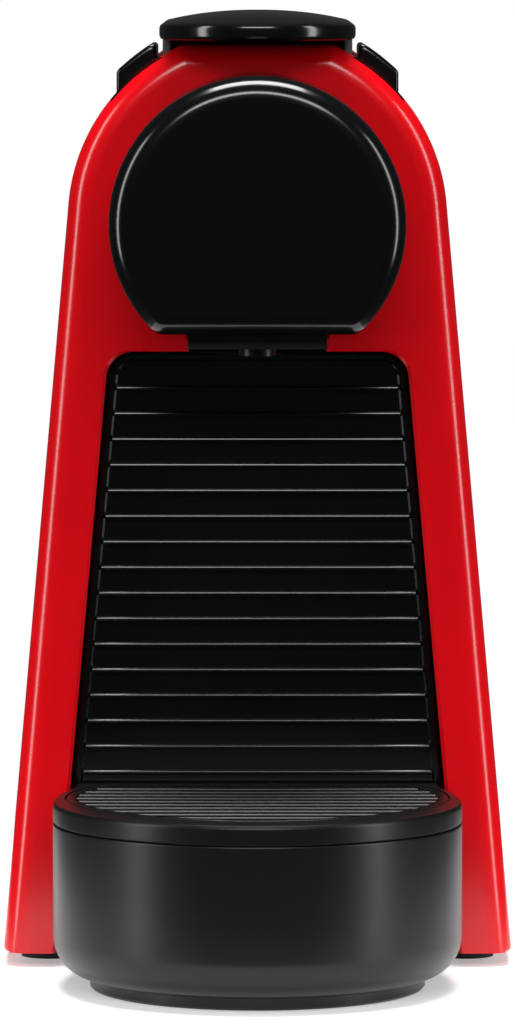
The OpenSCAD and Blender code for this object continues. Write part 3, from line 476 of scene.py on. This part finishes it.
# %% Drip tray
tray_low, tray_high = box_mm("drip_tray")
rim_low, rim_high = box_mm("cup_support_rim")
DRUM_R = tray_high[0]
DRUM_Y = tray_low[1] + DRUM_R
DRUM_TOP = tray_high[2]
TRAY_HW = 39.4
SIDE_R = 79.0
RING_H = 2.5
ROUND = 8.5
DRUM_WALL = 2.0


def tray_outline(i, back=tray_high[1]):
    turn = math.degrees(math.acos((TRAY_HW - DRUM_R + SIDE_R) / SIDE_R))
    r = DRUM_R - i
    half = arc(0, DRUM_Y, r, -90, -2, 44) + arc(DRUM_R - SIDE_R, DRUM_Y, SIDE_R - i, 0, turn, 10)
    half += [(TRAY_HW - i, back - i)]
    return half + mirrored(half[1:])


foot = [(i, RING_H + ROUND - w) for i, w in rounding(ROUND, 0, 0, n=10)][::-1]
drum = foot + [(0, DRUM_TOP - 0.5), (0.15, DRUM_TOP - 0.15), (0.5, DRUM_TOP), (1.6, DRUM_TOP),
               (DRUM_WALL, DRUM_TOP - 0.4)]
drum += [(DRUM_WALL + i, RING_H + ROUND - w) for i, w in rounding(ROUND - DRUM_WALL, 0, 0, n=6)]
settle(skin("drip_drum", tray_outline, drum, plan_view), satin, "drip_unit", "black_satin",
       "drip_tray")


RING_R = 35.6


def ring_outline(i):
    return [((RING_R - i) * math.cos(t), DRUM_Y + (RING_R - i) * math.sin(t))
            for t in [math.radians(3 * k) for k in range(120)]]


ring = [(3, 0.3), (2.7, 0), (0.5, 0), (0, 0.5), (0, 3.4), (3, 3.4)]
settle(skin("foot_ring", ring_outline, ring, plan_view, caps=False), satin, "drip_unit",
       "black_satin")

# %% [markdown]
# The cup support is a band with a round top edge and a well for the grid. Outline and well are
# both sampled along the same rays from one centre, so that one skin can join them.

# %% Cup support rim
SUPPORT = rim_high[2]
RIM_BACK = rim_high[1]
GRID_Y = DRUM_Y + 5.6
WELL_R = 41.0
LEDGE_W = 1.7
LEDGE_DROP = 1.6
RAYS = 240
WELL, LEDGE = 50, 60    # insets that stand for other outlines


def along_rays(points, centre):
    """Where rays from the centre meet a closed outline."""
    hits = []
    for k in range(RAYS):
        t = 2 * math.pi * (k + 0.5) / RAYS
        dx, dy = math.cos(t), math.sin(t)
        best = 1e9
        for (ax, ay), (bx, by) in zip(points, points[1:] + points[:1]):
            ex, ey = bx - ax, by - ay
            cross = dx * ey - dy * ex
            if abs(cross) < 1e-12:
                continue
            px, py = ax - centre[0], ay - centre[1]
            far = (px * ey - py * ex) / cross
            share = (px * dy - py * dx) / cross
            if far > 0 and -1e-9 <= share <= 1 + 1e-9:
                best = min(best, far)
        hits.append((centre[0] + best * dx, centre[1] + best * dy))
    return hits


CENTRE = (0.0, GRID_Y)


def rim_outline(i):
    """The band's outline set in by i; at WELL it is the grid's well, and at LEDGE its ledge."""
    if i >= WELL:
        inside = i - WELL if i < LEDGE else i - LEDGE + LEDGE_W
        r, back = WELL_R - inside, RIM_BACK - 1.5 - inside
        cut = math.degrees(math.asin((back - GRID_Y) / r))
        return along_rays(arc(0, GRID_Y, r, 180 - cut, 360 + cut, 120), CENTRE)
    return along_rays(tray_outline(i, RIM_BACK), CENTRE)


band = [(0.3, rim_low[2]), (0, rim_low[2] + 0.3), (0, SUPPORT - 1.0), (0.12, SUPPORT - 0.5),
        (0.45, SUPPORT - 0.12), (0.9, SUPPORT), (WELL, SUPPORT), (WELL, SUPPORT - LEDGE_DROP),
        (LEDGE, SUPPORT - LEDGE_DROP), (LEDGE, rim_low[2])]
settle(skin("cup_support_band", rim_outline, band, plan_view, caps=False), satin, "cup_support",
       "black_satin", "cup_support_rim")

# %% [markdown]
# The drip grid and the ribbed panel both repeat one bar along a line. A bar's half length squared
# is P + Q y + S y y at its place y: a chord of a circle for the grid, and a straight taper for the
# panel.
# One tree makes both, with its sizes as named inputs.

# %% A tree for rows of bars
def bars_tree():
    tree = bpy.data.node_groups.new("row_of_bars", "GeometryNodeTree")
    face = tree.interface
    named = [("Count", "NodeSocketInt")]
    named += [(name, "NodeSocketFloat")
              for name in ("Start", "Pitch", "P", "Q", "S", "Width", "Height")]
    named += [("Finish", "NodeSocketMaterial")]
    face.new_socket("Geometry", in_out="INPUT", socket_type="NodeSocketGeometry")
    for name, kind in named:
        face.new_socket(name, in_out="INPUT", socket_type=kind)
    face.new_socket("Geometry", in_out="OUTPUT", socket_type="NodeSocketGeometry")
    given = add(tree, "NodeGroupInput").outputs
    points = add(tree, "GeometryNodeMeshLine", inputs={"Offset": (0, 0, 0)},
                 links={"Count": given["Count"]})
    index = add(tree, "GeometryNodeInputIndex")

    def math_node(operation, a, b):
        node = add(tree, "ShaderNodeMath", {"operation": operation})
        for slot, value in ((0, a), (1, b)):
            if isinstance(value, (int, float)):
                node.inputs[slot].default_value = value
            elif value is not None:
                tree.links.new(value, node.inputs[slot])
        return node.outputs[0]

    along = math_node("MULTIPLY", index.outputs[0], given["Pitch"])
    place = math_node("ADD", along, given["Start"])
    square = math_node("MULTIPLY", math_node("MULTIPLY", place, place), given["S"])
    linear = math_node("MULTIPLY", place, given["Q"])
    total = math_node("ADD", math_node("ADD", square, linear), given["P"])
    half = math_node("SQRT", math_node("MAXIMUM", total, 1e-8), None)
    offset = add(tree, "ShaderNodeCombineXYZ", links={"Y": place})
    spread = add(tree, "GeometryNodeSetPosition",
                 links={"Geometry": points.outputs["Mesh"], "Position": offset.outputs[0]})
    run = add(tree, "GeometryNodeCurvePrimitiveLine",
              inputs={"Start": (-1, 0, 0), "End": (1, 0, 0)})
    size = add(tree, "ShaderNodeCombineXYZ", inputs={"Y": 1.0, "Z": 1.0}, links={"X": half})
    placed = add(tree, "GeometryNodeInstanceOnPoints",
                 links={"Points": spread.outputs["Geometry"], "Instance": run.outputs["Curve"],
                        "Scale": size.outputs[0]})
    real = add(tree, "GeometryNodeRealizeInstances",
               links={"Geometry": placed.outputs["Instances"]})
    section = add(tree, "GeometryNodeCurvePrimitiveQuadrilateral",
                  links={"Width": given["Width"], "Height": given["Height"]})
    round_off = add(tree, "GeometryNodeFilletCurve", {"mode": "POLY"} if "mode" in
                    bpy.types.GeometryNodeFilletCurve.bl_rna.properties else None,
                    links={"Curve": section.outputs["Curve"]})
    for key, value in (("Radius", 0.35 * MM), ("Count", 3)):
        if key in round_off.inputs:
            round_off.inputs[key].default_value = value
    solid = add(tree, "GeometryNodeCurveToMesh", inputs={"Fill Caps": True},
                links={"Curve": real.outputs["Geometry"],
                       "Profile Curve": round_off.outputs["Curve"]})
    smooth = add(tree, "GeometryNodeSetShadeSmooth", inputs={"Shade Smooth": False},
                 links={"Geometry": solid.outputs["Mesh"]})
    last = add(tree, "GeometryNodeSetMaterial", links={"Geometry": smooth.outputs["Geometry"],
                                                      "Material": given["Finish"]})
    whole = add(tree, "GeometryNodeRealizeInstances", links={"Geometry": last.outputs["Geometry"]})
    end = add(tree, "NodeGroupOutput")
    tree.links.new(whole.outputs["Geometry"], end.inputs["Geometry"])
    return tree


bars = bars_tree()


def row_of_bars(name, place, material, **sizes):
    """A plain mesh of the tree's bars, laid in the frame by place(x, y, z)."""
    seed = bpy.data.objects.new(name + "_seed", bpy.data.meshes.new(name))
    bpy.context.scene.collection.objects.link(seed)
    modifier = seed.modifiers.new("bars", "NODES")
    modifier.node_group = bars
    sockets = {i.name: i.identifier for i in bars.interface.items_tree if i.in_out == "INPUT"}
    for key, value in dict(sizes, Finish=material).items():
        modifier[sockets[key]] = value
    graph = bpy.context.evaluated_depsgraph_get()
    data = bpy.data.meshes.new_from_object(seed.evaluated_get(graph), depsgraph=graph)
    bpy.data.objects.remove(seed)
    made = bpy.data.objects.new(name, data)
    bpy.context.scene.collection.objects.link(made)
    for vertex in data.vertices:
        vertex.co = place(*(vertex.co / MM)) * MM
    mesh = bmesh.new()
    mesh.from_mesh(data)
    bmesh.ops.recalc_face_normals(mesh, faces=mesh.faces)
    mesh.to_mesh(data)
    mesh.free()
    data.materials.clear()
    print(name, len(data.polygons), "faces")
    return made

# %% Drip grid
GRID_PITCH = 5.6
SLOT = 2.4
BAR_W = GRID_PITCH - SLOT
GRID_T = 1.6
INNER = 20
FIRST_SLOT = RIM_BACK - 7
reach = WELL_R - 2.2
first_bar = FIRST_SLOT - GRID_PITCH / 2 - 10 * GRID_PITCH
shift = GRID_Y * MM
grid_bars = row_of_bars("drip_grid_bars", lambda x, y, z: Vector((x, y, SUPPORT - GRID_T / 2 + z)),
                        satin, Count=11, Start=first_bar * MM, Pitch=GRID_PITCH * MM,
                        P=(reach * MM) ** 2 - shift ** 2, Q=2 * shift, S=-1.0,
                        Width=BAR_W * MM, Height=GRID_T * MM)
settle(grid_bars, satin, "cup_support", "black_satin")


def grid_ring(i):
    """Edge of the grid set in by i; from INNER on it is the ring's inner side."""
    r, back = WELL_R - 0.2 - i, RIM_BACK - 1.7 - i
    if i >= INNER:
        r, back = WELL_R - 2.6 - (i - INNER), FIRST_SLOT + SLOT / 2 - (i - INNER)
    cut = math.degrees(math.asin((back - GRID_Y) / r))
    return along_rays(arc(0, GRID_Y, r, 180 - cut, 360 + cut, 120), CENTRE)


edge = [(0.2, SUPPORT - GRID_T), (0, SUPPORT - GRID_T + 0.2), (0, SUPPORT - 0.3), (0.3, SUPPORT),
        (INNER, SUPPORT), (INNER, SUPPORT - GRID_T)]
settle(skin("drip_grid_ring", grid_ring, edge, plan_view, caps=False), satin, "cup_support",
       "black_satin", "drip_grid")

# %% Ribbed panel
panel_low, panel_high = box_mm("ribbed_panel")
PANEL_Y = FACE_Y + 6
LEDGES = 16
LEDGE_PITCH = 5.56
top_ledge = NICHE_TOP - 7.8
slope = -math.tan(SIDE)
width_0 = (ARCH_R - LEG_W - 2.5 + ARCH_Z * math.sin(SIDE)) / math.cos(SIDE)


def panel_outline(i):
    cz, rim = NICHE_TOP - NICHE_R, 0.6 + i
    cx = side_x(cz, LEG_W + NICHE_R)
    low = panel_low[2] + i
    half = [(side_x(low, LEG_W + rim), low)]
    half += arc(cx, cz, NICHE_R - rim, math.degrees(SIDE), 90, 10)
    return half + mirrored(half)


plate = [(0, panel_high[1]), (0, PANEL_Y + 0.5), (0.4, PANEL_Y + 0.05), (1.4, PANEL_Y + 0.05),
         (1.8, PANEL_Y + 0.6)]
settle(skin("ribbed_panel_plate", panel_outline, plate, front_view), black, "drip_unit",
       "black_gloss", "ribbed_panel")
ledges = row_of_bars("ribbed_panel_ledges",
                     lambda x, y, z: Vector((x, PANEL_Y - 0.2 + z, y)), black,
                     Count=LEDGES, Start=(top_ledge - 0.5) * MM, Pitch=-LEDGE_PITCH * MM,
                     P=(width_0 * MM) ** 2, Q=2 * width_0 * MM * slope, S=slope ** 2,
                     Width=1.0 * MM, Height=1.6 * MM)
settle(ledges, black, "drip_unit", "black_gloss")

# %% [markdown]
# The machine stands on a pale floor under a white sky that only the camera sees in full. A tall
# soft light on each side makes the bright lines along the round edges, one from above lights the
# grid and the lever, and a wide one far in front lights the red face.

# %% Floor, lights and camera
def plane(name, corners, material):
    data = bpy.data.meshes.new(name)
    data.from_pydata([Vector(c) * MM for c in corners], [], [tuple(range(len(corners)))])
    made = bpy.data.objects.new(name, data)
    data.materials.append(material)
    bpy.context.scene.collection.objects.link(made)


paper = finish("pale_floor", "#f4f4f4", 0.6, tint="#f2f2f2", grain=0.0)
glow = next(n for n in paper.node_tree.nodes if n.type == "BSDF_PRINCIPLED")
glow.inputs["Emission Color"].default_value = (1, 1, 1, 1)
glow.inputs["Emission Strength"].default_value = 0.35
FLOOR_HW, FLOOR_FRONT, FLOOR_BACK, FLOOR_Z = 160, -200, 170, -0.2
plane("floor", [(-FLOOR_HW, FLOOR_FRONT, FLOOR_Z), (FLOOR_HW, FLOOR_FRONT, FLOOR_Z),
                (FLOOR_HW, FLOOR_BACK, FLOOR_Z), (-FLOOR_HW, FLOOR_BACK, FLOOR_Z)], paper)
world = bpy.data.worlds.new("studio")
bpy.context.scene.world = world
world.use_nodes = True
sky = world.node_tree
path = add(sky, "ShaderNodeLightPath")
dim = add(sky, "ShaderNodeMapRange", inputs={"To Min": 0.05, "To Max": 1.0},
          links={"Value": path.outputs["Is Camera Ray"]})
back = sky.nodes["Background"]
back.inputs["Color"].default_value = (1, 1, 1, 1)
sky.links.new(dim.outputs["Result"], back.inputs["Strength"])


def softbox(name, at, aim, width, height, power):
    """A rectangular light of a size in millimetres and a power in watts, turned to face aim."""
    lamp = bpy.data.lights.new(name, "AREA")
    lamp.shape = "RECTANGLE"
    lamp.size, lamp.size_y, lamp.energy = width * MM, height * MM, power
    made = bpy.data.objects.new(name, lamp)
    made.location = Vector(at) * MM
    made.rotation_euler = (Vector(aim) - Vector(at)).to_track_quat("-Z", "Y").to_euler()
    bpy.context.scene.collection.objects.link(made)


softbox("left_softbox", (-1000, -500, 350), (0, -80, 110), 200, 1000, 6)
softbox("right_softbox", (1000, -500, 350), (0, -80, 110), 200, 1000, 6)
softbox("top_softbox", (0, -150, 1000), (0, -80, 120), 600, 350, 14)
softbox("front_fill", (0, -2600, 1500), (0, -80, 110), 1800, 500, 38)

camera_data = bpy.data.cameras.new("camera")
camera = bpy.data.objects.new("camera", camera_data)
bpy.context.scene.collection.objects.link(camera)
bpy.context.scene.camera = camera
EYE = Vector((0, FACE_Y - 1500, 219))    # 1.5 m in front of the red face
TILT = math.radians(4.585)
camera_data.sensor_width = 36
camera_data.lens = 245.5
camera_data.clip_end = 100
camera.location = EYE * MM
camera.rotation_euler = (math.pi / 2 - TILT, 0, 0)
bpy.context.scene.view_settings.view_transform = "Standard"
print("camera lens", camera_data.lens)
